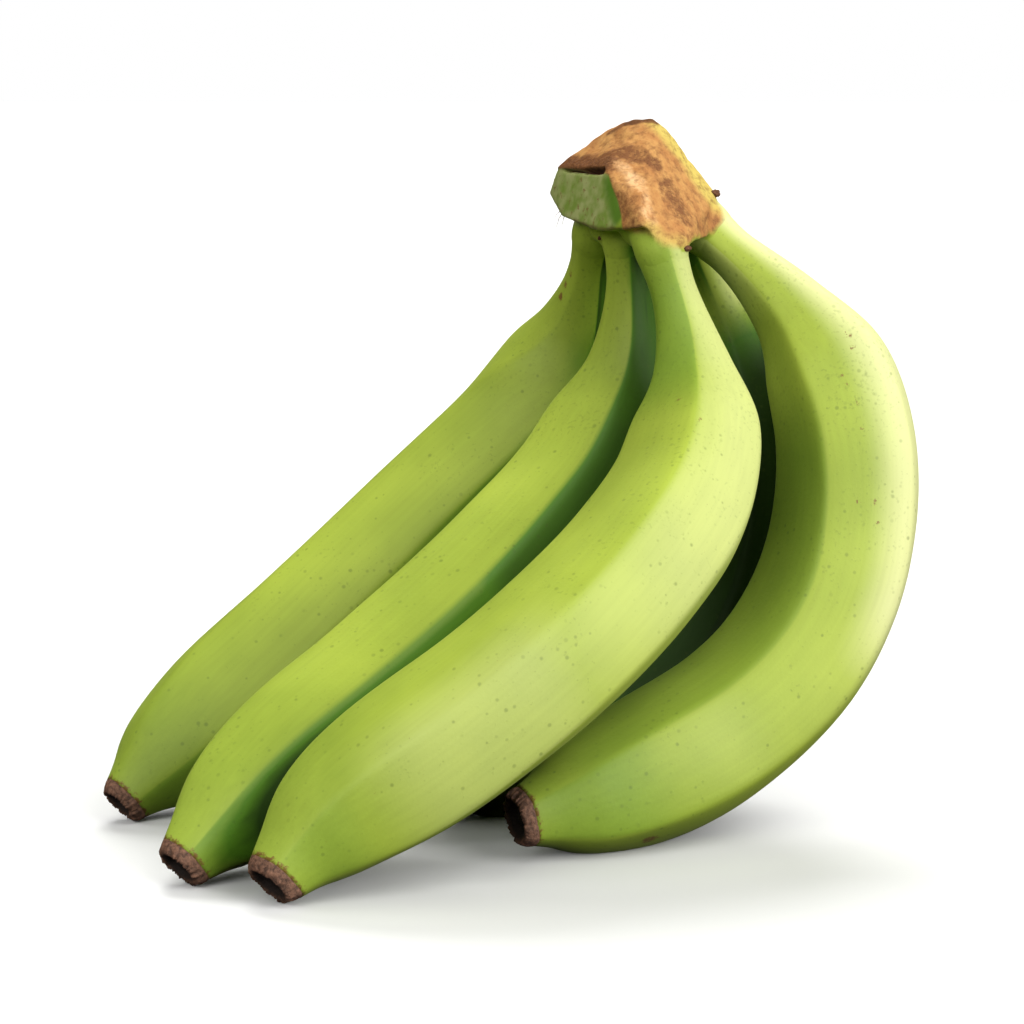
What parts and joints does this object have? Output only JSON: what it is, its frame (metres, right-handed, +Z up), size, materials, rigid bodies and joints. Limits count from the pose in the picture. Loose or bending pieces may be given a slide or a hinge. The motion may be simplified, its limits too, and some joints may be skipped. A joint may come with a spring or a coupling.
{
  "type": "hand of plantains",
  "caption": "Hand of long ridged unripe green plantains joined at one knife-cut crown, standing on its bent fruit and dried flower ends.",
  "frame": {"origin": "centre of the bounding box, at the surface that the fruit stands on", "axes": "+Z up, +X along the width, away from the low dried ends at the left, +Y away from the side with the ends that point forward"},
  "size_m": [0.2497, 0.1978, 0.213],
  "materials": {
    "peel": "satin waxy green fruit peel",
    "crown_cut": "dried cut plant tissue, tan and brown",
    "dried_end": "dried flower remains, rough dark brown"
  },
  "bodies": {
    "root": {"crown": "crown_cut", "plantain_1": "peel", "dried_tip_1": "dried_end", "plantain_2": "peel", "dried_tip_2": "dried_end", "plantain_3": "peel", "dried_tip_3": "dried_end", "plantain_4": "peel", "dried_tip_4": "dried_end", "plantain_5": "peel", "dried_tip_5": "dried_end"}
  },
  "joints": []
}
